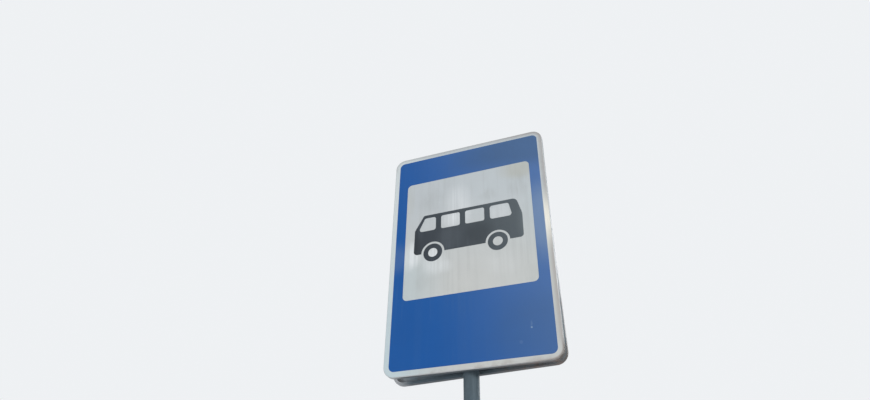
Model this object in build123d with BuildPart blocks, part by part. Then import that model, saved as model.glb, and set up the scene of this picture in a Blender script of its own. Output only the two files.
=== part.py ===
from build123d import *
import os
from collections import namedtuple

os.makedirs("parts", exist_ok=True)

# Double-sided bus stop sign on its post, in millimetres.
# The origin is on the ground at the post's axis, +Z is up, and the front
# sign faces -Y, so +X is to the right of someone who reads it.

# Post: a round steel tube that ends behind the signs, a little below their top
POST_RADIUS = 30.0
POST_WALL = 3.0
POST_DROP = 85.0  # post's top below the front sign's upper edge
CAP_RISE = 5.0
CAP_OVERHANG = 1.5
CAP_PLUG = 22.0  # depth of the cap's plug inside the tube
CAP_GAP = 0.2  # between the plug and the tube

# Foot: a plate with four anchor holes, and welded gussets round the post
FOOT_WIDTH = 400.0
FOOT_THICKNESS = 12.0
FOOT_CLIP = 30.0  # clipped corners
FOOT_EDGE_BREAK = 1.5
ANCHOR_INSET = 50.0  # holes from the plate's edges
ANCHOR_HOLE_RADIUS = 9.0
GUSSET_COUNT = 4
GUSSET_HEIGHT = 140.0
GUSSET_REACH = 95.0  # from the post outwards
GUSSET_NOSE = 14.0  # blunt ends, at the toe and at the top
GUSSET_SNIPE = 12.0  # inner corner cut clear of the post's weld
GUSSET_THICKNESS = 8.0
ROOT_GAP = 0.3  # between a gusset and the post

# Sign: a sheet steel pan whose edge is bent back and then in again, all round
SIGN_CLEARANCE = 2250.0  # ground to the front sign's lower edge
PANEL_WIDTH = 700.0
PANEL_HEIGHT = 1050.0
PANEL_CORNER = 45.0
SHEET = 1.2
BEND_RADIUS = 2.0  # outside of the bend between face and flange
LIP_BREAK = 1.2  # flat of the tighter bend between flange and lip
FLANGE_DEPTH = 20.0
FLANGE_LIP = 12.0  # width of the lip, parallel to the face

# Face: white sheeting, a blue film with a window over it, and the bus figure
FILM = 0.3
BORDER = 22.5  # white edge round the blue film
SQUARE_SIDE_MARGIN = 66.8  # panel's sides to the white square
SQUARE_TOP_MARGIN = 158.0
SQUARE_HEIGHT = 580.0
SQUARE_CORNER = 20.0

# Bus figure: a standard pictogram, drawn for a square FIGURE_SQUARE wide and
# scaled with it. Its origin is midway along the bus, on the axle line.
FIGURE_SQUARE = 566.4
FIGURE_DROP = 84.3  # axle line below the square's middle
FIGURE_SHIFT = -1.5
BODY_ROOF = 191.9
BODY_BOTTOM = 0.1
BODY_CORNERS = (
    # x, y, corner radius
    (-240.0, BODY_BOTTOM, 17.0),
    (-238.0, 119.5, 6.0),
    (-197.0, BODY_ROOF, 9.0),
    (217.5, BODY_ROOF, 23.0),
    (240.0, 113.5, 80.0),
    (239.6, BODY_BOTTOM, 14.0),
)
ROOF_BAND = 15.2  # roof line to the windows' heads
WINDOW_HEIGHT = 65.5
WINDOWS = (
    # left edge at the sill and at the head, right edge at the head and at the
    # sill, corner radius
    (-222.0, -191.5, -141.0, -141.0, 11.5),
    (-117.0, -117.0, -31.5, -31.5, 8.5),
    (-7.5, -7.5, 77.5, 77.5, 8.5),
    (102.0, 102.0, 184.0, 198.0, 12.0),
)
WHEEL_PLACES = (-152.8, 130.8)
TYRE_RADIUS = 42.3
HUB_RADIUS = 21.0
ARCH_GAP = 9.6  # white ring round each tyre

# Rails: two hat sections across the inside of each pan, flush with its lip
RAIL_SHEET = 1.5
RAIL_CROWN = 34.0
RAIL_SLANT = 4.0  # run of each side wall from crown to foot
RAIL_FOOT = 14.0
RAIL_END_GAP = 8.0  # rail's ends to the lip
SLOT_LENGTH = 46.0
SLOT_RADIUS = 4.5

# Clamps: a U band round the post, with two ears that bolt to a rail
BAND_HEIGHT = 30.0
BAND_THICKNESS = 3.0
BAND_BEND = 3.0  # inside radius between band and ear
BAND_GAP = 0.1  # between the band and the post
EAR_REACH = 32.0  # from the band's side outwards
EAR_CLIP = 6.0  # clipped corners
EAR_HOLE = 9.0  # square, for the square neck of a carriage bolt
RAIL_SEAT_GAP = 0.3  # between the rails and the post that they lie against

# The two signs hang back to back. The rear one has been clamped on a little
# askew, with its rails nearer its middle so that the bands miss each other.
FRONT_SHIFT = 10.0  # front sign to the reader's right of the post
FRONT_RAIL_INSET = 210.0  # rails from the sign's upper and lower edges
REAR_RAIL_INSET = 300.0
REAR_RISE = 4.5  # rear sign above the front one
REAR_SKEW = 2.5  # degrees short of facing straight back
REAR_TILT = 0.9  # degrees that it leans in its own plane
Sign = namedtuple("Sign", "name turn tilt shift rise rail_inset")
SIGNS = (
    # name, turn about the post and tilt in its own plane in degrees, shift
    # across the post, rise, rails from its ends
    Sign("front", 0.0, 0.0, FRONT_SHIFT, 0.0, FRONT_RAIL_INSET),
    Sign("rear", 180.0 - REAR_SKEW, -REAR_TILT, 0.0, REAR_RISE, REAR_RAIL_INSET),
)

sign_middle = SIGN_CLEARANCE + PANEL_HEIGHT / 2
post_top = SIGN_CLEARANCE + PANEL_HEIGHT - POST_DROP
rail_seat = POST_RADIUS + RAIL_SEAT_GAP
square_width = PANEL_WIDTH - 2 * SQUARE_SIDE_MARGIN
square_rise = PANEL_HEIGHT / 2 - SQUARE_TOP_MARGIN - SQUARE_HEIGHT / 2
figure_scale = square_width / FIGURE_SQUARE
rail_length = PANEL_WIDTH - 2 * (FLANGE_LIP + RAIL_END_GAP)
band_radius = POST_RADIUS + BAND_GAP
ear_tip = band_radius + BAND_THICKNESS + EAR_REACH
bolt_spacing = 2 * ear_tip - EAR_REACH

# Post
with BuildPart() as post:
    with BuildSketch(Plane.XY.offset(FOOT_THICKNESS)):
        Circle(POST_RADIUS)
        Circle(POST_RADIUS - POST_WALL, mode=Mode.SUBTRACT)
    extrude(amount=post_top - FOOT_THICKNESS)
post.part.label = "post"
export_step(post.part, "parts/post.step")

# Post cap: a flat disc on the tube's end, with a plug that fits the tube
with BuildPart() as post_cap:
    with BuildSketch(Plane.XY.offset(post_top)):
        Circle(POST_RADIUS + CAP_OVERHANG)
    extrude(amount=CAP_RISE)
    with BuildSketch(Plane.XY.offset(post_top)):
        Circle(POST_RADIUS - POST_WALL - CAP_GAP)
    extrude(amount=-CAP_PLUG)
post_cap.part.label = "post_cap"
export_step(post_cap.part, "parts/post_cap.step")

# Foot plate
anchor_spacing = FOOT_WIDTH - 2 * ANCHOR_INSET
with BuildPart() as foot_plate:
    with BuildSketch() as plate_outline:
        Rectangle(FOOT_WIDTH, FOOT_WIDTH)
        chamfer(plate_outline.vertices(), FOOT_CLIP)
        with GridLocations(anchor_spacing, anchor_spacing, 2, 2):
            Circle(ANCHOR_HOLE_RADIUS, mode=Mode.SUBTRACT)
    extrude(amount=FOOT_THICKNESS)
    top_face = foot_plate.faces().sort_by(Axis.Z)[-1]
    chamfer(top_face.outer_wire().edges(), FOOT_EDGE_BREAK)
foot_plate.part.label = "foot_plate"
export_step(foot_plate.part, "parts/foot_plate.step")

# Gussets: one blade outline on upright planes round the post, cut to its curve
gusset_planes = [Plane.XZ.rotated((0, 0, index * 360 / GUSSET_COUNT)) for index in range(GUSSET_COUNT)]
gusset_start = POST_RADIUS + ROOT_GAP
gusset_end = POST_RADIUS + GUSSET_REACH
gusset_top = FOOT_THICKNESS + GUSSET_HEIGHT
with BuildPart() as gussets:
    with BuildSketch(*gusset_planes):
        with BuildLine():
            Polyline(
                (0, FOOT_THICKNESS + GUSSET_SNIPE),
                (gusset_start, FOOT_THICKNESS + GUSSET_SNIPE),
                (gusset_start + GUSSET_SNIPE, FOOT_THICKNESS),
                (gusset_end, FOOT_THICKNESS),
                (gusset_end, FOOT_THICKNESS + GUSSET_NOSE),
                (gusset_start + GUSSET_NOSE, gusset_top),
                (0, gusset_top),
                close=True,
            )
        make_face()
    extrude(amount=GUSSET_THICKNESS / 2, both=True)
    with BuildSketch():
        Circle(gusset_start)
    extrude(amount=gusset_top, mode=Mode.SUBTRACT)
gussets.part.label = "gussets"
export_step(gussets.part, "parts/gussets.step")

# Bus figure: body with its wheel arches and windows cut out, and two tyres
with BuildSketch() as figure:
    with BuildLine():
        FilletPolyline(
            [(x, y) for x, y, radius in BODY_CORNERS],
            radius=[radius for x, y, radius in BODY_CORNERS],
            close=True,
        )
    make_face()
    with Locations(*[(place, 0) for place in WHEEL_PLACES]):
        Circle(TYRE_RADIUS + ARCH_GAP, mode=Mode.SUBTRACT)
    head = BODY_ROOF - ROOF_BAND
    sill = head - WINDOW_HEIGHT
    for sill_left, head_left, head_right, sill_right, corner in WINDOWS:
        with BuildLine():
            FilletPolyline(
                (sill_left, sill),
                (head_left, head),
                (head_right, head),
                (sill_right, sill),
                radius=corner,
                close=True,
            )
        make_face(mode=Mode.SUBTRACT)
    with Locations(*[(place, 0) for place in WHEEL_PLACES]):
        Circle(TYRE_RADIUS)
        Circle(HUB_RADIUS, mode=Mode.SUBTRACT)
    scale(by=figure_scale)

for sign in SIGNS:
    # The sign's level frame on the post's axis, x across it and y from its face
    # to its back, and its face, x across, y up and z towards the reader
    across = Vector(1, 0, 0).rotate(Axis.Z, sign.turn)
    inward = Vector(0, 1, 0).rotate(Axis.Z, sign.turn)
    depth_axis = Axis((0, 0, 0), inward)
    middle = Vector(0, 0, sign_middle + sign.rise)
    level = Plane(middle, x_dir=across, z_dir=(0, 0, 1))
    seat = Plane(middle - inward * rail_seat, x_dir=across, z_dir=-inward)
    face_middle = middle - inward * (rail_seat + FLANGE_DEPTH) + across * sign.shift
    face_across = across.rotate(Axis((0, 0, 0), -inward), sign.tilt)
    face = Plane(face_middle, x_dir=face_across, z_dir=-inward)
    rail_rise = PANEL_HEIGHT / 2 - sign.rail_inset

    # Hollow of the pan, with its mouth inside the lip
    with BuildPart() as hollow:
        with BuildSketch(face.offset(-SHEET)):
            RectangleRounded(PANEL_WIDTH - 2 * SHEET, PANEL_HEIGHT - 2 * SHEET, PANEL_CORNER - SHEET)
        extrude(amount=2 * SHEET - FLANGE_DEPTH)
        with BuildSketch(face.offset(-FLANGE_DEPTH)):
            RectangleRounded(
                PANEL_WIDTH - 2 * FLANGE_LIP, PANEL_HEIGHT - 2 * FLANGE_LIP, PANEL_CORNER - FLANGE_LIP
            )
        extrude(amount=SHEET)

    # Pan: the bent sheet round that hollow
    with BuildPart() as panel:
        with BuildSketch(face):
            RectangleRounded(PANEL_WIDTH, PANEL_HEIGHT, PANEL_CORNER)
        extrude(amount=-FLANGE_DEPTH)
        fillet(panel.faces().sort_by(depth_axis)[0].edges(), BEND_RADIUS)
        chamfer(panel.faces().sort_by(depth_axis)[-1].edges(), LIP_BREAK)
        add(hollow.part, mode=Mode.SUBTRACT)
    panel.part.label = f"{sign.name}_panel"
    export_step(panel.part, f"parts/{sign.name}_panel.step")

    # White sheeting over the flat of the face
    with BuildPart() as sheeting:
        with BuildSketch(face):
            RectangleRounded(
                PANEL_WIDTH - 2 * BEND_RADIUS, PANEL_HEIGHT - 2 * BEND_RADIUS, PANEL_CORNER - BEND_RADIUS
            )
        extrude(amount=FILM)
    sheeting.part.label = f"{sign.name}_sheeting"
    export_step(sheeting.part, f"parts/{sign.name}_sheeting.step")

    # Blue film, with the window that leaves the white square
    with BuildPart() as blue_film:
        with BuildSketch(face.offset(FILM)):
            RectangleRounded(PANEL_WIDTH - 2 * BORDER, PANEL_HEIGHT - 2 * BORDER, PANEL_CORNER - BORDER)
            with Locations((0, square_rise)):
                RectangleRounded(square_width, SQUARE_HEIGHT, SQUARE_CORNER, mode=Mode.SUBTRACT)
        extrude(amount=FILM)
    blue_film.part.label = f"{sign.name}_blue_film"
    export_step(blue_film.part, f"parts/{sign.name}_blue_film.step")

    # Black figure on the white square
    with BuildPart() as bus_figure:
        with BuildSketch(face.offset(FILM)):
            with Locations((FIGURE_SHIFT * figure_scale, square_rise - FIGURE_DROP * figure_scale)):
                add(figure.sketch)
        extrude(amount=FILM)
    bus_figure.part.label = f"{sign.name}_bus_figure"
    export_step(bus_figure.part, f"parts/{sign.name}_bus_figure.step")

    # Rails: a pressed hat section, mirrored about the sign's middle, with slots
    # for the clamps' bolts
    wall_foot = RAIL_CROWN / 2 + RAIL_SLANT
    with BuildPart() as rails:
        with BuildSketch(Plane(face.from_local_coords((0, rail_rise, 0)), x_dir=face.y_dir, z_dir=face.x_dir)):
            with BuildLine():
                Polyline(
                    (-wall_foot - RAIL_FOOT, -SHEET),
                    (-wall_foot, -SHEET),
                    (-RAIL_CROWN / 2, RAIL_SHEET - FLANGE_DEPTH),
                    (RAIL_CROWN / 2, RAIL_SHEET - FLANGE_DEPTH),
                    (wall_foot, -SHEET),
                    (wall_foot + RAIL_FOOT, -SHEET),
                )
                offset(amount=RAIL_SHEET, side=Side.RIGHT)
            make_face()
        extrude(amount=rail_length / 2, both=True)
        mirror(about=Plane(face.origin, x_dir=face.x_dir, z_dir=face.y_dir))
        with BuildSketch(face.offset(-FLANGE_DEPTH)):
            with GridLocations(bolt_spacing, 2 * rail_rise, 2, 2):
                SlotOverall(SLOT_LENGTH, 2 * SLOT_RADIUS)
        extrude(amount=RAIL_SHEET, mode=Mode.SUBTRACT)
    rails.part.label = f"{sign.name}_rails"
    export_step(rails.part, f"parts/{sign.name}_rails.step")

    # Clamps: the bent band, trimmed to clipped ears with bolt holes
    with BuildPart() as clamps:
        with BuildSketch(level.offset(rail_rise), level.offset(-rail_rise)):
            with BuildLine():
                leg = FilletPolyline(
                    (-ear_tip, -rail_seat),
                    (-band_radius, -rail_seat),
                    (-band_radius, 0),
                    radius=BAND_BEND + BAND_THICKNESS,
                )
                ThreePointArc(leg @ 1, (0, band_radius), (band_radius, 0))
                mirror(leg, about=Plane.YZ)
                offset(amount=BAND_THICKNESS, side=Side.LEFT)
            make_face()
        extrude(amount=BAND_HEIGHT / 2, both=True)
        with BuildSketch(seat) as ears:
            with GridLocations(bolt_spacing, 2 * rail_rise, 1, 2):
                Rectangle(2 * ear_tip, BAND_HEIGHT)
            chamfer(ears.vertices(), EAR_CLIP)
        extrude(amount=-2 * (rail_seat + band_radius), mode=Mode.INTERSECT)
        with BuildSketch(seat):
            with GridLocations(bolt_spacing, 2 * rail_rise, 2, 2):
                Rectangle(EAR_HOLE, EAR_HOLE)
        extrude(amount=-BAND_THICKNESS, mode=Mode.SUBTRACT)
    clamps.part.label = f"{sign.name}_clamps"
    export_step(clamps.part, f"parts/{sign.name}_clamps.step")
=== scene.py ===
import math
from collections import namedtuple

import bpy
from mathutils import Matrix, Vector


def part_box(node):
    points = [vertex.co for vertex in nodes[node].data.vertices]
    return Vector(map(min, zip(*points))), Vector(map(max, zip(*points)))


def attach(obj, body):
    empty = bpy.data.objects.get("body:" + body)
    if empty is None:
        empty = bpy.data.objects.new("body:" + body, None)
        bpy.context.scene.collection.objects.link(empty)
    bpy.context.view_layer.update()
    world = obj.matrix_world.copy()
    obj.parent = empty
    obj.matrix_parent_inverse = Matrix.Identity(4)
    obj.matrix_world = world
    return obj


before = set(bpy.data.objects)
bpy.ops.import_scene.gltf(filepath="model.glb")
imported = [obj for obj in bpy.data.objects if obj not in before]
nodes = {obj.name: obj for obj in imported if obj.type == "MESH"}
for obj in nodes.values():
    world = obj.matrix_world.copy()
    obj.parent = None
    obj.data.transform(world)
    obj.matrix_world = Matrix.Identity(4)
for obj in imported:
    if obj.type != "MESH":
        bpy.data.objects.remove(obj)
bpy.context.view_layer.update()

MM = 0.001

# How the two signs hang, as in the part's source
FRONT_SHIFT = 10 * MM
REAR_RISE = 4.5 * MM
REAR_SKEW = math.radians(2.5)
REAR_TILT = math.radians(0.9)

# Sizes of the part, as in its source
FLANGE_DEPTH = 20 * MM
PANEL_CORNER = 45 * MM
PAN_SHEET = 1.2 * MM
RAIL_SHEET = 1.5 * MM
RAIL_LENGTH = 660 * MM
RAIL_FOOT_MIDDLE = 28 * MM  # from a rail's own middle to the middle of its foot
BAND_HEIGHT = 30 * MM
BAND_THICKNESS = 3 * MM
EAR_REACH = 32 * MM
ANCHOR_INSET = 50 * MM
GUSSET_THICKNESS = 8 * MM
GUSSET_SNIPE = 12 * MM

# Places that the part's boxes give
post_low, post_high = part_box("post")
panel_low, panel_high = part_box("front_panel")
POST_RADIUS = post_high.x
FOOT_TOP = post_low.z
GUSSET_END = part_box("gussets")[1].x
GUSSET_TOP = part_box("gussets")[1].z
ANCHOR_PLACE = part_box("foot_plate")[1].x - ANCHOR_INSET
EAR_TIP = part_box("front_clamps")[1].x
RAIL_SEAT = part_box("front_rails")[1].y  # where rails and ears meet, in the sign's level frame
SIGN_BOTTOM = panel_low.z
SIGN_MIDDLE = (panel_low.z + panel_high.z) / 2
HALF_WIDTH = (panel_high.x - panel_low.x) / 2
HALF_HEIGHT = (panel_high.z - panel_low.z) / 2

# Where the photograph was taken from, and its lens
CAMERA_PLACE = (0.6794, -2.1076, 1.5014)
CAMERA_TURN = math.radians(21.694)
CAMERA_ELEVATION = math.radians(34.701)
CAMERA_ROLL = math.radians(1.129)
CAMERA_SENSOR = 36.0
PICTURE_WIDTH = 870  # in pixels
PICTURE_FOCUS = 604.7  # focal length in pixels
CAMERA_LENS = CAMERA_SENSOR * PICTURE_FOCUS / PICTURE_WIDTH


Sign = namedtuple("Sign", "name turn tilt shift rise")
SIGNS = (
    Sign("front", 0.0, 0.0, FRONT_SHIFT, 0.0),
    Sign("rear", math.pi - REAR_SKEW, -REAR_TILT, 0.0, REAR_RISE),
)


def level_frame(sign):
    """A sign's level frame: x across it, y from its face to its back, origin on the post's axis."""
    rise = Matrix.Translation((0, 0, SIGN_MIDDLE + sign.rise))
    return rise @ Matrix.Rotation(sign.turn, 4, "Z")


def face_frame(sign):
    """A sign's face: x across it, y up it, z towards its reader, origin at its middle."""
    flat = Matrix(((1, 0, 0), (0, 0, -1), (0, 1, 0))).to_4x4()
    middle = Matrix.Translation((sign.shift, RAIL_SEAT - FLANGE_DEPTH, 0))
    return level_frame(sign) @ middle @ flat @ Matrix.Rotation(sign.tilt, 4, "Z")


# Node trees: one class for a value that flows in them, and one for the tree

class Flow:
    """A socket of a node tree, with the operators of a number."""

    def __init__(self, graph, socket):
        self.graph = graph
        self.socket = socket

    def maths(self, operation, *values):
        inputs = dict(enumerate(values))
        return self.graph.node("ShaderNodeMath", {"operation": operation}, inputs)

    def __add__(self, other):
        return self.maths("ADD", self, other)

    def __radd__(self, other):
        return self.maths("ADD", other, self)

    def __sub__(self, other):
        return self.maths("SUBTRACT", self, other)

    def __rsub__(self, other):
        return self.maths("SUBTRACT", other, self)

    def __mul__(self, other):
        return self.maths("MULTIPLY", self, other)

    def __rmul__(self, other):
        return self.maths("MULTIPLY", other, self)

    def __truediv__(self, other):
        return self.maths("DIVIDE", self, other)

    def __rtruediv__(self, other):
        return self.maths("DIVIDE", other, self)

    def __pow__(self, other):
        return self.maths("POWER", self, other)

    def __rpow__(self, other):
        return self.maths("POWER", other, self)

    def __abs__(self):
        return self.maths("ABSOLUTE", self)

    def cosine(self):
        return self.maths("COSINE", self)

    def least(self, other):
        return self.maths("MINIMUM", self, other)

    def most(self, other):
        return self.maths("MAXIMUM", self, other)

    def step(self, low, high):
        """0 below low and 1 above high, smooth between them; low may be the larger."""
        return self.graph.node(
            "ShaderNodeMapRange",
            {"interpolation_type": "SMOOTHSTEP"},
            {"Value": self, "From Min": low, "From Max": high},
        )


class Graph:
    """A node tree, built with one method."""

    def __init__(self, tree):
        self.tree = tree

    def node(self, kind, settings=None, inputs=None, output=0):
        """Adds a node with its settings and the values or links of its inputs, each by its name
        or number, and gives the output of that name or number."""
        made = self.tree.nodes.new(kind)
        for name, value in (settings or {}).items():
            setattr(made, name, value)
        for key, value in (inputs or {}).items():
            socket = self.pick(made.inputs, key)
            if isinstance(value, Flow):
                self.tree.links.new(value.socket, socket)
            else:
                socket.default_value = value
        if not made.outputs:
            return None
        return Flow(self, self.pick(made.outputs, output))

    def pick(self, sockets, key):
        if isinstance(key, int):
            return sockets[key]
        return next(s for s in sockets if s.name == key and not s.is_unavailable)


class Finish(Graph):
    """A material whose patterns lie in the object's own coordinates, in metres.
    With a sign, across, up and out are measured from the middle of that sign's face, and sunward
    is across as counted towards +X, the sunny side, where painted glare and highlights lie."""

    def __init__(self, name, sign=None):
        self.material = bpy.data.materials.new(name)
        self.material.use_nodes = True
        super().__init__(self.material.node_tree)
        self.tree.nodes.clear()
        self.place = self.node("ShaderNodeTexCoord", output="Object")
        if sign:
            place, turn, _ = face_frame(sign).inverted().decompose()
            face = self.node("ShaderNodeMapping", inputs={
                "Vector": self.place, "Location": place, "Rotation": turn.to_euler(),
            })
            self.across = self.part(face, "X")
            self.sunward = self.across * math.copysign(1, math.cos(sign.turn))
            self.up = self.part(face, "Y")
            self.out = self.part(face, "Z")

    def part(self, vector, axis):
        return self.node("ShaderNodeSeparateXYZ", inputs={0: vector}, output=axis)

    def along(self, axis):
        """How far along one of the object's own axes a point is."""
        return self.part(self.place, axis)

    def vectors(self, operation, first, second):
        inputs = {0: first, 1: second}
        return self.node("ShaderNodeVectorMath", {"operation": operation}, inputs)

    def shade(self, colour, brightness):
        """A colour made lighter or darker by a varying number."""
        inputs = {0: colour, "Scale": brightness}
        return self.node("ShaderNodeVectorMath", {"operation": "SCALE"}, inputs, "Vector")

    def mix(self, first, second, share):
        inputs = {"Factor": share, "A": first, "B": second}
        return self.node("ShaderNodeMix", {"data_type": "RGBA"}, inputs, "Result")

    def coated(self, base, coats):
        """A colour under a list of others, each with its mask; the last one lies on top."""
        for colour, mask in coats:
            base = self.mix(base, colour, mask)
        return base

    def noise(self, size, detail=2.0, roughness=0.5, at=None):
        """Cloudy noise from 0 to 1 whose lumps are about size metres across."""
        return self.node("ShaderNodeTexNoise", inputs={
            "Vector": at or self.place, "Scale": 1 / size, "Detail": detail, "Roughness": roughness,
        })

    def runs(self, across, up, detail=3, roughness=0.6):
        """Noise drawn out into upright runs: about how many to a metre across, and up."""
        drawn = self.vectors("MULTIPLY", self.place, (across, across, up))
        return self.noise(1, detail, roughness, at=drawn)

    def cells(self, size, output="Color", at=None):
        """A patchwork of cells about size metres across: a colour for each one, or the distance
        from its middle."""
        inputs = {"Vector": at or self.place, "Scale": 1 / size}
        return self.node("ShaderNodeTexVoronoi", inputs=inputs, output=output)

    def wobbled(self, by, size):
        """The place, pushed about by up to about by metres in lumps of that size."""
        inputs = {"Vector": self.place, "Scale": 1 / size}
        push = self.node("ShaderNodeTexNoise", inputs=inputs, output="Color")
        centred = self.vectors("SUBTRACT", push, (0.5, 0.5, 0.5))
        return self.vectors("ADD", self.place, self.shade(centred, 2 * by))

    def bump(self, height, depth):
        """Height from 0 to 1, as relief depth metres deep."""
        inputs = {"Height": height, "Distance": depth, "Strength": 1.0}
        return self.node("ShaderNodeBump", inputs=inputs)

    def surface(self, base, roughness, normal, others):
        inputs = {"Base Color": base, "Roughness": roughness, "Normal": normal, **others}
        shader = self.node("ShaderNodeBsdfPrincipled", inputs=inputs)
        self.node("ShaderNodeOutputMaterial", inputs={"Surface": shader})
        return self.material


# Colours that are made lighter or darker: red, green and blue
CHALK = (0.5, 0.515, 0.52)
TUBE_CAP = (0.05, 0.052, 0.056)
PLATE = (0.25, 0.265, 0.275)
PAN = (0.19, 0.215, 0.24)
RAIL = (0.33, 0.34, 0.355)
CLAMP = (0.36, 0.37, 0.38)
BOLT = (0.42, 0.42, 0.4)
WELD = (0.2, 0.21, 0.215)
BLUE = (0.004, 0.088, 0.335)
BLACK = (0.028, 0.036, 0.048)
FLOOR = (0.76, 0.77, 0.78)

# Colours that are mixed in, with their alpha
ROAD_DIRT = (0.15, 0.13, 0.105, 1)
RUST = (0.19, 0.085, 0.035, 1)
# painted shade, laid on the pans' downward faces
UNDERSIDE_SHADE = (0.028, 0.046, 0.06, 1)
SOIL = (0.1, 0.088, 0.08, 1)
WATER_STAIN = (0.17, 0.15, 0.12, 1)
DRIP_STAIN = (0.22, 0.16, 0.135, 1)
SCUFF = (0.24, 0.25, 0.25, 1)
LOW_POST = (0.112, 0.138, 0.155, 1)
HIGH_POST = (0.092, 0.134, 0.165, 1)
# painted shade for the post just under the signs
POST_SHADE_UNDER_SIGNS = (0.05, 0.06, 0.065, 1)
# painted shade: dark blue-grey for the pans' lips
PAN_LIP_SHADE = (0.08, 0.125, 0.155, 1)
# paler inner zinc, tinted blue as painted skylight
PAN_INSIDE_SKYLIT = (0.29, 0.37, 0.42, 1)
# painted highlight for the pan's -X end
PAN_END_HIGHLIGHT = (0.7, 0.71, 0.73, 1)
PAN_FILM = (0.55, 0.575, 0.58, 1)
# painted glare haze
GLARE_HAZE = (0.45, 0.54, 0.56, 1)
GRIME = (0.24, 0.165, 0.14, 1)
# painted light: the white's tint, warm low down and cool as skylight at the top
LOW_WHITE = (0.578, 0.587, 0.575, 1)
HIGH_WHITE_SKYLIT = (0.52, 0.557, 0.585, 1)
SHADED_WHITE = (0.532, 0.592, 0.608, 1)
WHITE_DUST = (0.32, 0.335, 0.33, 1)
WASHED_WHITE = (0.8, 0.83, 0.855, 1)
OLD_WHITE = (0.4, 0.39, 0.31, 1)
# painted skylight: pale bluish border on the shaded side
LOW_SKYLIT_BORDER = (0.54, 0.645, 0.69, 1)
HIGH_SKYLIT_BORDER = (0.64, 0.7, 0.715, 1)
SUNLIT_BORDER = (0.9, 0.87, 0.78, 1)
SIDE_DIRT = (0.3, 0.25, 0.23, 1)
TOP_DIRT = (0.26, 0.24, 0.23, 1)
CORNER_DIRT = (0.2, 0.155, 0.13, 1)
SPECK = (0.2, 0.19, 0.17, 1)
BLUE_DUST = (0.07, 0.14, 0.28, 1)
DULL_BLUE = (0.03, 0.06, 0.05, 1)
CHIP = (0.3, 0.42, 0.56, 1)
BLACK_DUST = (0.09, 0.107, 0.13, 1)
# painted sheen on the black film; then a darker black for patches
BLACK_SHEEN = (0.3, 0.34, 0.38, 1)
DARKER_BLACK = (0.01, 0.014, 0.018, 1)
BACKDROP = (0.86, 0.88, 0.9, 1)
SKY = (0.97, 0.985, 1, 1)


# Masks: where dirt and wear lie

def facing_down(f):
    """1 where the surface faces the ground."""
    normal = f.node("ShaderNodeTexCoord", output="Normal")
    return f.part(normal, "Z").step(-0.75, -0.95)


def facing_sun(f):
    """1 where the surface faces the sunny side."""
    normal = f.node("ShaderNodeTexCoord", output="Normal")
    return f.part(normal, "X").step(0.35, 0.85)


def distance(sideways, upwards):
    return (sideways * sideways + upwards * upwards) ** 0.5


def from_outline(f):
    """How far in from the outline of a sign's face a point is, up to the radius of its corners."""
    sideways = (abs(f.across) - (HALF_WIDTH - PANEL_CORNER)).most(0.0)
    upwards = (abs(f.up) - (HALF_HEIGHT - PANEL_CORNER)).most(0.0)
    return PANEL_CORNER - distance(sideways, upwards)


def above_lower_edge(f):
    """How far a point is above the lower edge of its sign."""
    return f.up + HALF_HEIGHT


def splashed(f):
    """Road dirt that has splashed up from the ground, in patches."""
    rise = (0.36 - f.along("Z") + 0.16 * f.noise(30 * MM, 4, 0.7)).step(0.0, 0.42)
    return rise * (0.12 + 0.55 * f.noise(70 * MM, 5, 0.65).step(0.38, 0.66))


def round_anchors(f):
    """Rust that has spread from the anchor holes in the foot plate."""
    reach = distance(abs(f.along("X")) - ANCHOR_PLACE, abs(f.along("Y")) - ANCHOR_PLACE)
    return (reach + 16 * MM * f.noise(9 * MM, 4, 0.7)).step(32 * MM, 14 * MM) * 0.75


def rust_spots(f, size, share):
    """Small rust spots; share from 0 to 1 is about how much they cover."""
    return f.noise(size, 5, 0.7).step(0.72 - 0.3 * share, 0.78 - 0.3 * share)


# Places on a face, in millimetres from its middle: sunward, up, half their width and height;
# and how strongly they show
STREAKED = (
    (-38, 205, 76, 130, 0.55),
    (-250, -12, 60, 80, 1.0),
    (-145, -65, 70, 60, 0.5),
    (145, -112, 90, 80, 0.15),
    (-78, 140, 50, 50, 0.55),
    (145, 135, 60, 50, 0.3),
    (-152, -10, 34, 34, 0.75),
    (-95, -82, 40, 35, 0.3),
)
SMUDGED = (
    (-165, 255, 75, 75, 0.8),
    (97, 233, 45, 36, 0.9),
    (225, 255, 55, 95, 0.9),
    (-200, -140, 50, 50, 0.5),
    (262, -180, 45, 60, 0.7),
)
CHIPPED = (
    (240, -395, 4.5, 4.5, 0.6),
    (241, -381, 5, 14, 0.12),
    (198, -446, 8, 8, 0.08),
)
# painted glare haze, in patches
GLARED_PATCHES = (
    (330, 60, 120, 220, 0.19),
    (-315, -12, 62, 88, 0.09),
)
YELLOWED = (
    (245, 335, 110, 60, 0.4),
    (-275, 275, 40, 120, 0.15),
)
DULLED = (
    (280, 450, 430, 130, 0.3),
    (300, -400, 300, 190, 0.12),
)
# painted sheen on the black film
SHEEN_PATCHES = (
    (-80, 50, 70, 80, 0.05),
)
# darker patches on the black film
DARKER_PATCHES = (
    (50, 45, 75, 80, 0.3),
    (-228, 20, 30, 90, 0.35),
)


def patches(f, places, ragged):
    """The strength of each place in its middle, fading to 0 at its ragged rim."""
    total = 0.0
    for sunward, up, half_width, half_height, strength in places:
        sideways = (f.sunward - sunward * MM) / (half_width * MM)
        upwards = (f.up - up * MM) / (half_height * MM)
        size = (half_width + half_height) / 2 * MM
        rim = distance(sideways, upwards) + (f.noise(size, 3) - 0.5) * ragged
        total = total + rim.step(1.1, 0.3) * strength
    return total.least(1.0)


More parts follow.
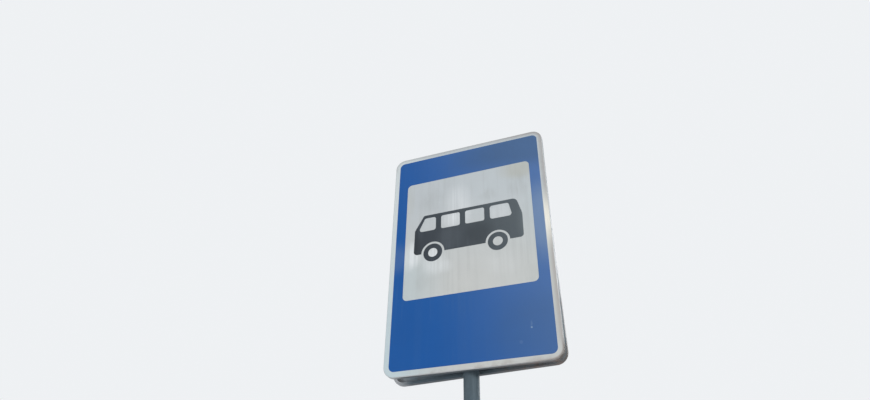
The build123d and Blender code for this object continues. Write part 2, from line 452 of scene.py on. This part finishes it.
def rain_runs(f):
    """Thin upright streaks that rain has left in the dust."""
    fine = f.runs(85, 1.6, 2, 0.55).step(0.5, 0.68)
    broad = f.runs(22, 0.9, 2, 0.5).step(0.46, 0.66)
    return fine * f.noise(0.17, 2, 0.5).step(0.42, 0.6) * 0.55 + broad * 0.35


def washed_runs(f):
    """Paler streaks, washed clean, in some patches of the face."""
    lines = f.runs(90, 1.2, 2, 0.5).step(0.42, 0.62)
    return patches(f, STREAKED, 0.5) * (0.55 + 0.45 * lines)


def smudges(f):
    """Darker haze, drawn out downwards."""
    return patches(f, SMUDGED, 0.9) * f.runs(40, 7).step(0.25, 0.6)


def veil(f):
    """The pale haze of painted glare on the film, stronger on the sunny side."""
    return 0.16 * (f.sunward + 0.25 * f.up).step(-0.3, 0.45) + patches(f, GLARED_PATCHES, 0.2)


def honeycomb(f):
    """The fine six-sided cells of reflective film: 1 on their walls."""
    cell = 3.6 * MM
    pitch = 4 * math.pi / (math.sqrt(3) * cell)
    waves = 0.0
    for turn in (0, 60, 120):
        angle = math.radians(turn)
        along = f.across * (pitch * math.cos(angle)) + f.up * (pitch * math.sin(angle))
        waves = waves + along.cosine()
    return waves.step(-0.7, -1.05)


def edge_grime(f):
    """Dirt along the film's rim, thickest along the sign's lower edge."""
    ragged = f.noise(20 * MM, 4, 0.7).step(0.4, 0.6)
    rim = from_outline(f).step(3.5 * MM, 0.5 * MM) * (0.35 + 0.5 * ragged)
    patch = f.noise(40 * MM, 4, 0.6).step(0.46, 0.7)
    low = above_lower_edge(f).step(30 * MM, 2 * MM) * patch * 0.3
    return (rim + low).least(0.75)


# Finishes

def zinc(f, tone, crystals, contrast, chalk, dirt, metallic=0.45):
    """Galvanised steel: a patchwork of crystals, dulled to a chalky grey, with dirt over it.
    crystals is their size and contrast how much they differ. dirt is a list of colours, each
    with its mask, and where dirt lies the metal doesn't shine."""
    ripple = f.noise(5 * MM, 2)
    crystal = f.cells(crystals, at=f.wobbled(crystals * 0.4, crystals * 1.5))
    cloud = f.noise(0.14, 3, 0.6)
    run = f.runs(70, 3).step(0.55, 0.72)
    bloom = (cloud * 0.6 + f.noise(18 * MM, 4, 0.65) * 0.4).step(0.5, 0.66)
    base = f.shade(tone, 1 + (crystal - 0.5) * contrast + (cloud - 0.5) * 0.5 - run * 0.13)
    base = f.mix(base, f.shade(CHALK, 0.6 + 0.3 * ripple), bloom * chalk)
    bare = 1.0
    for _, mask in dirt:
        bare = (1 - mask) * bare
    grain = f.noise(0.9 * MM, 3) * 0.5 + ripple * 0.3 + bloom * 0.2
    rough = 0.42 + 0.14 * crystal + 0.2 * bloom + 0.25 * (1 - bare)
    return f.surface(f.coated(base, dirt), rough, f.bump(grain, 0.12 * MM), {
        "Metallic": bare * metallic, "Specular IOR Level": 0.25,
    })


def post_zinc():
    """The post's tube: dark and even, and darker just under the signs with painted shade."""
    f = Finish("post_zinc")
    height = f.along("Z")
    tone = f.mix(LOW_POST, HIGH_POST, height.step(0.6, 2.0))
    # painted shade: the post darkens over the 0.4 m below the signs' lower edge
    shade_under_signs = height.step(SIGN_BOTTOM - 0.4, SIGN_BOTTOM) * 0.4
    scuffed = f.runs(60, 16, 4, 0.7).step(0.62, 0.7) * height.step(1.5, 0.9) * 0.35
    rusty = rust_spots(f, 14 * MM, share=0.12) * height.step(0.5, 0.0) * 0.7
    return zinc(f, tone, crystals=11 * MM, contrast=0.24, chalk=0.06, metallic=0.4, dirt=[
        # the first coat is painted shade under the signs
        (POST_SHADE_UNDER_SIGNS, shade_under_signs), (SCUFF, scuffed), (ROAD_DIRT, splashed(f)), (RUST, rusty),
    ])


def plate_zinc():
    """Thick hot-dip zinc on the foot plate and gussets, with road dirt and rust in spots."""
    f = Finish("plate_zinc")
    rusty = (rust_spots(f, 16 * MM, share=0.3) * 0.75).most(round_anchors(f))
    return zinc(f, PLATE, crystals=14 * MM, contrast=0.42, chalk=0.35, dirt=[
        (ROAD_DIRT, splashed(f)), (RUST, rusty),
    ])


FILM_WRAP = 3.6 * MM  # how far the white film reaches round the bend at a pan's face
FILM_RAGGED = 0.3 * MM


def panel_zinc(sign):
    """The pan's bare edge and back: dull zinc, dark underneath with painted shade, and stained
    where water hangs.
    The white film is wrapped round the bend at the face. The inside is paler zinc, tinted blue as
    painted skylight; the lips get painted shade and the -X end a painted highlight."""
    f = Finish(sign.name + "_panel_zinc", sign)
    edge = from_outline(f)
    depth = 0 - f.out
    height = above_lower_edge(f)
    sunny = f.along("X").step(0.0, 0.3)
    # the -X end of the pan, where a painted highlight lies
    highlight_end = f.along("X").step(-0.25, -0.33)
    inside = edge.step(1.0 * MM, 2.0 * MM)
    under = facing_down(f) * edge.step(1.5 * MM, 0.0)
    lip = depth.step(FLANGE_DEPTH - 1.0 * MM, FLANGE_DEPTH - 0.2 * MM)
    low = height.step(50 * MM + 40 * MM * sunny, 0.0)
    drip = f.noise(45 * MM, 4, 0.65).step(0.46, 0.62)
    streak = f.runs(45, 5).step(0.5, 0.66)
    stained = low * (0.08 + 0.75 * sunny) * (0.35 + 0.65 * drip) + 0.25 * streak * drip
    rusty = edge.step(12 * MM, 0.0) * rust_spots(f, 9 * MM, share=0.2) * 0.6
    by_face = depth.step(FILM_WRAP + FILM_RAGGED, FILM_WRAP - FILM_RAGGED)
    wrapped = by_face * edge.least(depth).step(1.0 * MM, 0.8 * MM)
    soiled = 0.45 * facing_sun(f) * height.step(0.33, 0.2)
    soiled = soiled + 0.5 * sunny * height.step(0.1, 0.04) * (1 - under)
    mottled = 0.6 + 0.6 * f.noise(7 * MM, 4, 0.7).step(0.38, 0.62)
    return zinc(f, PAN, crystals=9 * MM, contrast=0.22, chalk=0.3, metallic=0.35, dirt=[
        # paler zinc inside the pan, with a blue tint of painted skylight
        (PAN_INSIDE_SKYLIT, inside * 0.75),
        # painted shade on the lips, weaker on the sunny side
        (PAN_LIP_SHADE, lip * (0.75 - 0.65 * sunny)),
        # painted shade on the downward faces near the rim, a little less on the sunny side
        (UNDERSIDE_SHADE, under * (0.55 - 0.15 * sunny)),
        # painted highlight on the inside, lips and underside at the -X end
        (PAN_END_HIGHLIGHT, inside.most(lip).most(under) * highlight_end * 0.85),
        (DRIP_STAIN, stained.least(0.8)),
        (RUST, rusty),
        (PAN_FILM, wrapped * (0.95 - 0.45 * sunny * low)),
        (SOIL, (soiled * mottled).least(1.0)),
    ])


def rail_zinc():
    """The rails' pressed strip, stained in runs."""
    f = Finish("rail_zinc")
    stained = f.runs(50, 8).step(0.55, 0.7) * 0.35
    return zinc(f, RAIL, crystals=8 * MM, contrast=0.3, chalk=0.3, dirt=[
        (WATER_STAIN, stained),
    ])


def clamp_zinc():
    """The bands' strip, with a little rust."""
    f = Finish("clamp_zinc")
    return zinc(f, CLAMP, crystals=7 * MM, contrast=0.3, chalk=0.25, dirt=[
        (RUST, rust_spots(f, 8 * MM, share=0.15) * 0.6),
    ])


def bolt_zinc():
    """Bright zinc plating on the bolts, nuts and washers, spotted with rust."""
    f = Finish("bolt_zinc")
    rusty = f.noise(5 * MM, 4, 0.7).step(0.56, 0.66)
    base = f.mix(f.shade(BOLT, 0.85 + 0.3 * f.noise(2 * MM)), RUST, rusty * 0.6)
    grain = f.bump(f.noise(0.5 * MM), 0.04 * MM)
    return f.surface(base, 0.34 + 0.3 * rusty, grain, {"Metallic": 0.75})


def weld_zinc():
    """Weld metal under the zinc coating, rough and a little darker."""
    f = Finish("weld_zinc")
    lump = f.noise(3 * MM, 3)
    base = f.mix(f.shade(WELD, 0.75 + 0.5 * lump), ROAD_DIRT, splashed(f))
    return f.surface(base, 0.5 + 0.15 * lump, f.bump(lump, 0.1 * MM), {"Metallic": 0.45})


def cap_plastic():
    """Moulded plastic, grey and a little chalky from the sun."""
    f = Finish("cap_plastic")
    chalk = f.noise(9 * MM, 4, 0.6)
    base = f.shade(TUBE_CAP, 0.8 + 0.7 * chalk.step(0.4, 0.7))
    return f.surface(base, 0.45 + 0.2 * chalk, f.bump(f.noise(0.6 * MM), 0.05 * MM), {})


def film(f, tone, dust, dustiness, roughness, gloss, coats):
    """Glossy film over the sign: its colour with faint cells, a painted glare haze, dust in rain
    runs and smudges, grime round the rim, and more coats over all that."""
    cloud = f.noise(0.12, 3, 0.55)
    cells = honeycomb(f)
    rain = rain_runs(f)
    dusty = (rain * dustiness + smudges(f) * dustiness * 1.3).least(1.0)
    base = f.shade(tone, 0.97 + 0.12 * (cloud - 0.5) + 0.035 * cells)
    # the first coat is a painted glare haze
    base = f.coated(base, [(GLARE_HAZE, veil(f)), (dust, dusty), (GRIME, edge_grime(f)), *coats])
    rough = roughness + 0.12 * rain + 0.05 * cells
    relief = f.bump(cells * 0.3 + f.noise(0.08) * 0.7, 0.03 * MM)
    return f.surface(base, rough, relief, {"Specular IOR Level": gloss})


def white_sheeting(sign):
    """White reflective film, greyed by dust, with paler washed runs. Its border is painted pale and
    bluish as skylight on the shaded side, has a painted highlight half way up the sunny side, and
    is dirty at its outer edge."""
    f = Finish(sign.name + "_white_sheeting", sign)
    # painted light: warm low down, turning to a cool skylight tint towards the top
    tone = f.mix(LOW_WHITE, HIGH_WHITE_SKYLIT, f.up.step(-0.2, 0.3))
    tone = f.mix(tone, SHADED_WHITE, f.sunward.step(-0.02, -0.3) * f.up.step(0.1, -0.1))
    edge = from_outline(f)
    border = edge.step(24 * MM, 20 * MM)
    shaded = f.sunward.step(-0.1, -0.35)
    sunny = f.sunward.step(0.05, 0.33)
    low = f.up.step(-0.42, -0.5)
    high = f.up.step(0.42, 0.5)
    corner = low * f.sunward.step(0.22, 0.33)
    # the band half way up the sunny side that gets a painted highlight, and less dirt
    sunlit_band = abs(f.up - 60 * MM).step(0.19, 0.0)
    dirty = sunny * (0.5 - 0.45 * sunlit_band) * (1 - 0.7 * low)
    speck = f.cells(16 * MM, "Distance").step(0.07, 0.035) * f.noise(25 * MM).step(0.58, 0.64)
    # painted skylight: the border pale and bluish on the shaded side
    skylit_border = f.mix(LOW_SKYLIT_BORDER, HIGH_SKYLIT_BORDER, f.up.step(-0.3, 0.0))
    return film(f, tone, WHITE_DUST, dustiness=0.2, roughness=0.34, gloss=0.3, coats=[
        (WASHED_WHITE, washed_runs(f) * 0.75),
        (OLD_WHITE, patches(f, YELLOWED, 0.5)),
        (skylit_border, border * shaded * 0.8),
        # painted highlight on the sunny border
        (SUNLIT_BORDER, border * sunny * sunlit_band * 0.9),
        (SIDE_DIRT, edge.step(26 * MM, 2 * MM) * dirty),
        (TOP_DIRT, edge.step(18 * MM, 1 * MM) * high * 0.35),
        (CORNER_DIRT, edge.step(10 * MM, 2 * MM) * corner * 0.75),
        (SPECK, speck * 0.4),
    ])


def blue_film(sign):
    """Deep blue film, duller along the top and low on the sunny side; the front sign's is
    chipped."""
    f = Finish(sign.name + "_blue_film", sign)
    coats = [(DULL_BLUE, patches(f, DULLED, 0.3))]
    if sign.name == "front":
        coats.append((CHIP, patches(f, CHIPPED, 0.9)))
    return film(f, BLUE, BLUE_DUST, dustiness=0.15, roughness=0.32, gloss=0.26, coats=coats)


def black_film(sign):
    """Black film, a little greyed by dust, with a painted sheen in one patch and some darker
    patches.
    """
    f = Finish(sign.name + "_black_film", sign)
    return film(f, BLACK, BLACK_DUST, dustiness=0.4, roughness=0.36, gloss=0.3, coats=[
        # painted sheen
        (BLACK_SHEEN, patches(f, SHEEN_PATCHES, 0.4)),
        (DARKER_BLACK, patches(f, DARKER_PATCHES, 0.4)),
    ])


def dress(node, material):
    nodes[node].data.materials.clear()
    nodes[node].data.materials.append(material)


plate_finish = plate_zinc()
rail_finish = rail_zinc()
clamp_finish = clamp_zinc()
dress("post", post_zinc())
dress("post_cap", cap_plastic())
dress("foot_plate", plate_finish)
dress("gussets", plate_finish)
for sign in SIGNS:
    dress(sign.name + "_panel", panel_zinc(sign))
    dress(sign.name + "_sheeting", white_sheeting(sign))
    dress(sign.name + "_blue_film", blue_film(sign))
    dress(sign.name + "_bus_figure", black_film(sign))
    dress(sign.name + "_rails", rail_finish)
    dress(sign.name + "_clamps", clamp_finish)


# Pieces that repeat, laid out by geometry nodes

def placed_object(name, data):
    """A new object in the scene, at the origin."""
    made = bpy.data.objects.new(name, data)
    bpy.context.scene.collection.objects.link(made)
    return made


class Layout(Graph):
    """A geometry nodes tree whose sizes are named inputs."""

    def __init__(self, name, inputs):
        super().__init__(bpy.data.node_groups.new(name, "GeometryNodeTree"))
        interface = self.tree.interface
        self.keys = {}
        for title, kind in inputs.items():
            socket = interface.new_socket(title, in_out="INPUT", socket_type=kind)
            self.keys[title] = socket.identifier
        interface.new_socket("Geometry", in_out="OUTPUT", socket_type="NodeSocketGeometry")
        self.entry = self.tree.nodes.new("NodeGroupInput")

    def given(self, title):
        return Flow(self, self.entry.outputs[title])

    def finish(self, instances):
        """Ends the tree with real mesh in the given material."""
        real = self.node("GeometryNodeRealizeInstances", inputs={"Geometry": instances})
        inputs = {"Geometry": real, "Material": self.given("Finish")}
        dressed = self.node("GeometryNodeSetMaterial", inputs=inputs)
        self.node("NodeGroupOutput", inputs={"Geometry": dressed})

    def grow(self, name, carrier, values):
        """A plain mesh object: what the tree makes of the carrier, which goes."""
        modifier = carrier.modifiers.new(name, "NODES")
        modifier.node_group = self.tree
        for title, value in values.items():
            modifier[self.keys[title]] = value
        bpy.context.view_layer.update()
        shaped = carrier.evaluated_get(bpy.context.evaluated_depsgraph_get())
        mesh = bpy.data.meshes.new_from_object(shaped)
        mesh.name = name
        bpy.data.objects.remove(carrier)
        return placed_object(name, mesh)


def seat_layout():
    """Sets a fastener on each point, its axis along the point's own, turned at random."""
    g = Layout("fasteners on their seats", {
        "Seats": "NodeSocketGeometry",
        "Fastener": "NodeSocketObject",
        "Turn": "NodeSocketFloat",
        "Seed": "NodeSocketInt",
        "Finish": "NodeSocketMaterial",
    })
    fastener = g.node(
        "GeometryNodeObjectInfo",
        {"transform_space": "ORIGINAL"},
        {"Object": g.given("Fastener"), "As Instance": True},
        "Geometry",
    )
    axis = g.node(
        "GeometryNodeInputNamedAttribute",
        {"data_type": "FLOAT_VECTOR"},
        {"Name": "axis"},
        "Attribute",
    )
    upright = g.node(
        "FunctionNodeAlignRotationToVector", {"axis": "Z"}, {"Vector": axis}, "Rotation"
    )
    turn = g.node(
        "FunctionNodeRandomValue",
        {"data_type": "FLOAT"},
        {"Min": 0.0, "Max": g.given("Turn"), "Seed": g.given("Seed")},
        "Value",
    )
    placed = g.node("GeometryNodeInstanceOnPoints", inputs={
        "Points": g.given("Seats"), "Instance": fastener, "Rotation": upright,
    })
    spin = g.node("ShaderNodeCombineXYZ", inputs={"Z": turn})
    g.finish(g.node("GeometryNodeRotateInstances", inputs={
        "Instances": placed, "Rotation": spin, "Local Space": True,
    }))
    return g


def bead_layout():
    """Lays overlapping ripples of weld metal along the paths."""
    g = Layout("weld beads", {
        "Paths": "NodeSocketGeometry",
        "Spacing": "NodeSocketFloat",
        "Radius": "NodeSocketFloat",
        "Flatness": "NodeSocketFloat",
        "Unevenness": "NodeSocketFloat",
        "Seed": "NodeSocketInt",
        "Finish": "NodeSocketMaterial",
    })
    ripple = g.node("GeometryNodeMeshIcoSphere", inputs={
        "Radius": g.given("Radius"), "Subdivisions": 2,
    })
    stops = g.node(
        "GeometryNodeCurveToPoints",
        {"mode": "LENGTH"},
        {"Curve": g.given("Paths"), "Length": g.given("Spacing")},
        "Points",
    )
    heading = Flow(g, g.pick(stops.socket.node.outputs, "Rotation"))
    unevenness = g.given("Unevenness")
    size = g.node(
        "FunctionNodeRandomValue",
        {"data_type": "FLOAT"},
        {"Min": 1 - unevenness, "Max": 1 + unevenness, "Seed": g.given("Seed")},
        "Value",
    )
    scale = g.node("ShaderNodeCombineXYZ", inputs={"X": size, "Y": size, "Z": g.given("Flatness")})
    placed = g.node("GeometryNodeInstanceOnPoints", inputs={
        "Points": stops, "Instance": ripple, "Rotation": heading, "Scale": scale,
    })
    g.finish(g.node("GeometryNodeSetShadeSmooth", inputs={"Geometry": placed}))
    return g


def circle(radius, height):
    """A round ring for the function below."""
    return lambda angle: (radius, height)


def turned(name, rings, steps, smooth=False):
    """A closed mesh turned about Z. A ring is a function of the angle that gives a radius and a
    height, and rings run from the lower face, over the outside, to the upper face and back."""
    vertices = []
    for ring in rings:
        for step in range(steps):
            angle = 2 * math.pi * step / steps
            radius, height = ring(angle)
            vertices.append((radius * math.cos(angle), radius * math.sin(angle), height))
    faces = []
    for row in range(len(rings)):
        start = row * steps
        above = (row + 1) % len(rings) * steps
        for step in range(steps):
            beside = (step + 1) % steps
            faces.append((start + step, start + beside, above + beside, above + step))
    mesh = bpy.data.meshes.new(name)
    mesh.from_pydata(vertices, [], faces)
    if smooth:
        mesh.shade_smooth()
    else:
        mesh.shade_flat()
    return mesh


def joined(name, meshes):
    """One object from several meshes, at the origin."""
    parts = [placed_object(mesh.name, mesh) for mesh in meshes]
    if len(parts) > 1:
        with bpy.context.temp_override(active_object=parts[0], selected_editable_objects=parts):
            bpy.ops.object.join()
    parts[0].name = name
    return parts[0]


def points(name, places, axis):
    """A mesh of bare points with the axis that their fasteners stand along."""
    mesh = bpy.data.meshes.new(name)
    mesh.from_pydata(places, [], [])
    axes = mesh.attributes.new("axis", "FLOAT_VECTOR", "POINT")
    axes.data.foreach_set("vector", list(axis) * len(places))
    return placed_object(name, mesh)


# Clamp bolt: washer, chamfered nut and the bolt's threaded end, standing on the seat at z = 0
WASHER_RADIUS = 9 * MM
WASHER_THICKNESS = 1.6 * MM
WASHER_EDGE = 0.3 * MM  # chamfer round its upper rim
WASHER_CLEARANCE = 0.2 * MM
NUT_FLATS = 13 * MM
NUT_HEIGHT = 6.5 * MM
NUT_CROWN = 0.96  # width of the flat ring at each end, as a share of that across the flats
NUT_CHAMFER = math.tan(math.radians(30))
NUT_MOUTH = 0.5 * MM  # countersink of the bore
NUT_BITE = 0.2 * MM  # how far the bore lies inside the bolt's threads
BOLT_RADIUS = 4 * MM
BOLT_HIDDEN = 1 * MM  # how far down inside the nut its mesh begins
BOLT_POINT = 1.2 * MM  # how much narrower its tip is
BOLT_TIP = 0.4 * MM
THREAD_DEPTH = 0.6 * MM
THREAD_PITCH = 1.25 * MM
THREADS = 6


def washer():
    inner = BOLT_RADIUS + WASHER_CLEARANCE
    return turned("washer", [
        circle(inner, 0),
        circle(WASHER_RADIUS, 0),
        circle(WASHER_RADIUS, WASHER_THICKNESS - WASHER_EDGE),
        circle(WASHER_RADIUS - WASHER_EDGE, WASHER_THICKNESS),
        circle(inner, WASHER_THICKNESS),
    ], steps=32)


def nut():
    bottom = WASHER_THICKNESS
    top = WASHER_THICKNESS + NUT_HEIGHT
    crown = NUT_FLATS / 2 * NUT_CROWN
    bore = BOLT_RADIUS - NUT_BITE

    def reach(angle):
        """From the axis to the hexagon, in that direction."""
        off_flat = (angle + math.pi / 6) % (math.pi / 3) - math.pi / 6
        return NUT_FLATS / 2 / math.cos(off_flat)

    def below(angle):
        return reach(angle), bottom + (reach(angle) - crown) * NUT_CHAMFER

    def above(angle):
        return reach(angle), top - (reach(angle) - crown) * NUT_CHAMFER

    return turned("nut", [
        circle(bore, bottom),
        circle(crown, bottom),
        below,
        above,
        circle(crown, top),
        circle(bore + NUT_MOUTH, top),
        circle(bore, top - NUT_MOUTH),
    ], steps=36)


def bolt_end():
    """The end of the bolt that stands out of its nut."""
    start = WASHER_THICKNESS + NUT_HEIGHT - BOLT_HIDDEN
    rings = [circle(0, start)]
    for thread in range(THREADS):
        height = start + thread * THREAD_PITCH
        rings.append(circle(BOLT_RADIUS - THREAD_DEPTH, height))
        rings.append(circle(BOLT_RADIUS, height + THREAD_PITCH / 2))
    end = start + THREADS * THREAD_PITCH
    tip = end + BOLT_TIP
    rings.append(circle(BOLT_RADIUS - THREAD_DEPTH, end))
    rings.append(circle(BOLT_RADIUS - BOLT_POINT, tip))
    rings.append(circle(0, tip))
    return turned("bolt_end", rings, steps=20, smooth=True)


seats = seat_layout()
beads = bead_layout()
bolt_finish = bolt_zinc()
weld_finish = weld_zinc()


def rail_rise(sign):
    """How far a sign's rails and bands are above and below its middle."""
    low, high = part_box(sign.name + "_clamps")
    return (high.z - low.z - BAND_HEIGHT) / 2


def clamp_bolts(sign):
    """The four bolts that hold a sign's two bands to its rails, with their nuts on the ears."""
    bolt_x = EAR_TIP - EAR_REACH / 2
    bolt_y = RAIL_SEAT + BAND_THICKNESS
    level = level_frame(sign)
    rise = rail_rise(sign)
    places = [level @ Vector((x, bolt_y, z)) for x in (-bolt_x, bolt_x) for z in (-rise, rise)]
    outward = level.to_3x3() @ Vector((0, 1, 0))
    bolt = joined("bolt_master", [washer(), nut(), bolt_end()])
    made = seats.grow(sign.name + "_clamp_bolts", points("seats", places, outward), {
        "Fastener": bolt, "Turn": math.radians(60), "Seed": len(sign.name), "Finish": bolt_finish,
    })
    bpy.data.objects.remove(bolt)
    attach(made, "root")


# Spot welds: a low ring, squeezed up round a dished middle
SPOT_RADIUS = 3.2 * MM
SPOT_RING = 0.8  # where the ring is highest, as a share of the radius
SPOT_DISH = 0.5  # where the dish begins
SPOT_SINK = 0.3 * MM  # how far the mesh goes into the rail
SPOT_RIM_RISE = 0.15 * MM
SPOT_RING_RISE = 0.35 * MM
SPOT_DISH_RISE = 0.12 * MM
SPOT_MIDDLE_RISE = 0.1 * MM
SPOT_PITCH = 60 * MM
SPOT_INSET = 30 * MM  # from the rail's ends


def spot():
    return turned("spot", [
        circle(0, -SPOT_SINK),
        circle(SPOT_RADIUS, -SPOT_SINK),
        circle(SPOT_RADIUS, SPOT_RIM_RISE),
        circle(SPOT_RADIUS * SPOT_RING, SPOT_RING_RISE),
        circle(SPOT_RADIUS * SPOT_DISH, SPOT_DISH_RISE),
        circle(0, SPOT_MIDDLE_RISE),
    ], steps=18, smooth=True)


def rail_spot_welds(sign):
    """Two rows of spot welds along each rail, one on each of its feet."""
    face = face_frame(sign)
    rise = rail_rise(sign)
    count = round((RAIL_LENGTH - 2 * SPOT_INSET) / SPOT_PITCH) + 1
    across = [(index - (count - 1) / 2) * SPOT_PITCH for index in range(count)]
    up = [side * rise + foot * RAIL_FOOT_MIDDLE for side in (-1, 1) for foot in (-1, 1)]
    depth = -(PAN_SHEET + RAIL_SHEET)
    places = [face @ Vector((x, y, depth)) for x in across for y in up]
    inward = face.to_3x3() @ Vector((0, 0, -1))
    weld = joined("spot_master", [spot()])
    made = seats.grow(sign.name + "_spot_welds", points("spots", places, inward), {
        "Fastener": weld, "Turn": math.radians(90), "Seed": 1, "Finish": rail_finish,
    })
    bpy.data.objects.remove(weld)
    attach(made, "root")


for sign in SIGNS:
    clamp_bolts(sign)
    rail_spot_welds(sign)


# Weld beads between the post, its gussets and the foot plate
BEAD_RADIUS = 3.6 * MM
BEAD_SPACING = 1.7 * MM
BEAD_FLATNESS = 0.6  # a ripple's length along the bead, as a share of its width
BEAD_UNEVENNESS = 0.12
BEAD_SINK = 0.3 * MM  # how far the upright beads' paths lie inside the post
BEAD_GAP = 1 * MM  # from a gusset's side to the end of a bead round the post
ARC_STEPS = 8


def weld_beads():
    curve = bpy.data.curves.new("weld_paths", "CURVE")
    curve.dimensions = "3D"

    def lay(turn, *stops):
        line = curve.splines.new("POLY")
        line.points.add(len(stops) - 1)
        for point, stop in zip(line.points, stops):
            point.co = (*(turn @ Vector(stop)), 1)

    half = GUSSET_THICKNESS / 2
    inner = POST_RADIUS - BEAD_SINK
    gap = math.asin((half + BEAD_GAP) / POST_RADIUS)  # half of what a gusset takes of a turn
    arc = []
    for step in range(ARC_STEPS + 1):
        angle = gap + (math.pi / 2 - 2 * gap) * step / ARC_STEPS
        arc.append((POST_RADIUS * math.cos(angle), POST_RADIUS * math.sin(angle), FOOT_TOP))
    for quarter in range(4):
        turn = Matrix.Rotation(quarter * math.pi / 2, 3, "Z")
        for y in (-half, half):
            lay(turn, (POST_RADIUS + GUSSET_SNIPE, y, FOOT_TOP), (GUSSET_END, y, FOOT_TOP))
            lay(turn, (inner, y, FOOT_TOP + GUSSET_SNIPE), (inner, y, GUSSET_TOP))
        lay(turn, (GUSSET_END, -half, FOOT_TOP), (GUSSET_END, half, FOOT_TOP))
        lay(turn, *arc)
    made = beads.grow("foot_weld_beads", placed_object("weld_paths", curve), {
        "Spacing": BEAD_SPACING, "Radius": BEAD_RADIUS, "Flatness": BEAD_FLATNESS,
        "Unevenness": BEAD_UNEVENNESS, "Seed": 4, "Finish": weld_finish,
    })
    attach(made, "root")


weld_beads()


# Floor, light and camera

FLOOR_REACH = 60.0
SKY_LEVEL = 0.56  # even light from all round
COVE_START = 1.6  # from here out, the eye sees the floor turn into the backdrop
COVE_END = 7.0


def seen_directly(g):
    """1 for rays from the eye, off a gloss or through glass; 0 for those that light things."""
    kinds = ("Is Camera Ray", "Is Glossy Ray", "Is Transmission Ray")
    eye, gloss, glass = [g.node("ShaderNodeLightPath", output=kind) for kind in kinds]
    return (eye + gloss + glass).least(1.0)


def pale_floor():
    """A matt floor that takes the object's shadow and fades into the backdrop further out."""
    f = Finish("pale_floor")
    flat = f.vectors("MULTIPLY", f.place, (1, 1, 0))
    reach = f.node("ShaderNodeVectorMath", {"operation": "LENGTH"}, {0: flat}, "Value")
    tone = f.shade(FLOOR, 0.97 + 0.06 * f.noise(0.6, 3))
    matt = f.node("ShaderNodeBsdfDiffuse", inputs={"Color": tone})
    cove = f.node("ShaderNodeEmission", inputs={"Color": BACKDROP, "Strength": 1.0})
    share = reach.step(COVE_START, COVE_END) * seen_directly(f)
    both = f.node("ShaderNodeMixShader", inputs={0: share, 1: matt, 2: cove})
    f.node("ShaderNodeOutputMaterial", inputs={"Surface": both})
    return f.material


def lay_floor():
    mesh = bpy.data.meshes.new("floor")
    turns = ((-1, -1), (1, -1), (1, 1), (-1, 1))
    corners = [(x * FLOOR_REACH, y * FLOOR_REACH, 0) for x, y in turns]
    mesh.from_pydata(corners, [], [(0, 1, 2, 3)])
    mesh.materials.append(pale_floor())
    floor = placed_object("floor", mesh)


def hang_backdrop():
    """A pale backdrop for the eye, gloss and glass, and an even light for the rest."""
    world = bpy.data.worlds.new("studio")
    world.use_nodes = True
    g = Graph(world.node_tree)
    g.tree.nodes.clear()
    light = g.node("ShaderNodeBackground", inputs={"Color": SKY, "Strength": SKY_LEVEL})
    backdrop = g.node("ShaderNodeBackground", inputs={"Color": BACKDROP, "Strength": 1.0})
    both = g.node("ShaderNodeMixShader", inputs={0: seen_directly(g), 1: light, 2: backdrop})
    g.node("ShaderNodeOutputWorld", inputs={"Surface": both})
    bpy.context.scene.world = world


Lamp = namedtuple("Lamp", "name place target size power colour")
LAMPS = (
    Lamp("key", (4.6, -4.0, 4.8), (0, 0, 2.0), 1.5, 205, (1, 0.985, 0.96)),
    Lamp("fill", (-5.4, -3.4, 2.2), (0, 0, 2.0), 3.0, 75, (0.95, 0.98, 1)),
    Lamp("back", (2.6, 4.8, 4.6), (0, 0, 2.2), 3.0, 130, (1, 0.985, 0.965)),
)


def set_lamps():
    for lamp in LAMPS:
        light = bpy.data.lights.new(lamp.name, "AREA")
        light.size = lamp.size
        light.energy = lamp.power
        light.color = lamp.colour
        holder = placed_object(lamp.name, light)
        holder.location = lamp.place
        aim = Vector(lamp.target) - Vector(lamp.place)
        holder.rotation_euler = aim.to_track_quat("-Z", "Y").to_euler()


def set_camera():
    camera = bpy.data.cameras.new("camera")
    camera.sensor_width = CAMERA_SENSOR
    camera.lens = CAMERA_LENS
    holder = placed_object("camera", camera)
    turn = Matrix.Rotation(CAMERA_TURN, 4, "Z")
    lift = Matrix.Rotation(math.pi / 2 + CAMERA_ELEVATION, 4, "X")
    roll = Matrix.Rotation(CAMERA_ROLL, 4, "Z")
    holder.matrix_world = Matrix.Translation(CAMERA_PLACE) @ turn @ lift @ roll
    bpy.context.scene.camera = holder


lay_floor()
hang_backdrop()
set_lamps()
set_camera()
bpy.context.scene.view_settings.view_transform = "Standard"
